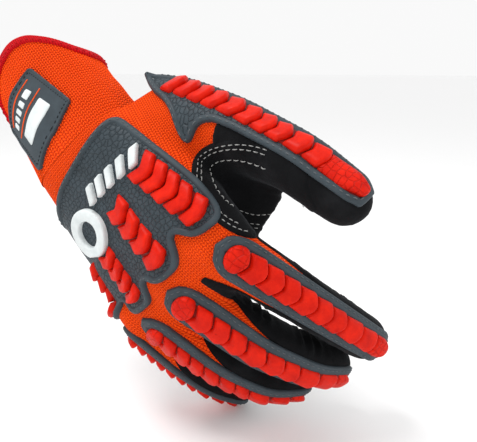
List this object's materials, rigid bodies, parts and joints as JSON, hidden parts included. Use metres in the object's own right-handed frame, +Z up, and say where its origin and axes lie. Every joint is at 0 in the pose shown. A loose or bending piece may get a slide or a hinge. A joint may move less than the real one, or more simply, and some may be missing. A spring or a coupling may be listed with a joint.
{
  "type": "impact glove",
  "caption": "Right-hand work glove worn-shaped, with a knitted back and cuff, suede palm, and moulded rubber guards carrying rows of arrow-shaped impact blocks.",
  "frame": {"origin": "middle of the cuff's opening", "axes": "+Z up, as the worn glove is held: the back of the hand faces +X, and the hand points towards +Y and down, with the thumb uppermost"},
  "size_m": [0.1018, 0.21, 0.2034],
  "materials": {
    "knit": "coarse knit",
    "binding": "woven binding",
    "suede": "suede",
    "rubber": "satin, pebbled",
    "ridge": "satin",
    "emblem": "matte"
  },
  "bodies": {
    "root": {"knit_cuff": "knit", "knit_back": "knit", "index_knit": "knit", "middle_knit": "knit", "ring_knit": "knit", "little_knit": "knit", "cuff_hem": "binding", "palm_leather": "suede", "crotch_patch": "suede", "index_stall": "suede", "middle_stall": "suede", "ring_stall": "suede", "little_stall": "suede", "thumb_stall": "suede", "cuff_label": "rubber", "back_guard": "rubber", "index_guard": "rubber", "middle_guard": "rubber", "ring_guard": "rubber", "little_guard": "rubber", "thumb_guard": "rubber", "back_ridge_index": "ridge", "back_ridge_middle": "ridge", "back_ridge_ring": "ridge", "back_ridge_little": "ridge", "index_ridge": "ridge", "middle_ridge": "ridge", "ring_ridge": "ridge", "little_ridge": "ridge", "thumb_ridge": "ridge", "emblem_badge": "emblem", "emblem_bar_1": "emblem", "emblem_bar_2": "emblem", "emblem_bar_3": "emblem", "emblem_bar_4": "emblem", "emblem_bar_5": "emblem"}
  },
  "joints": []
}
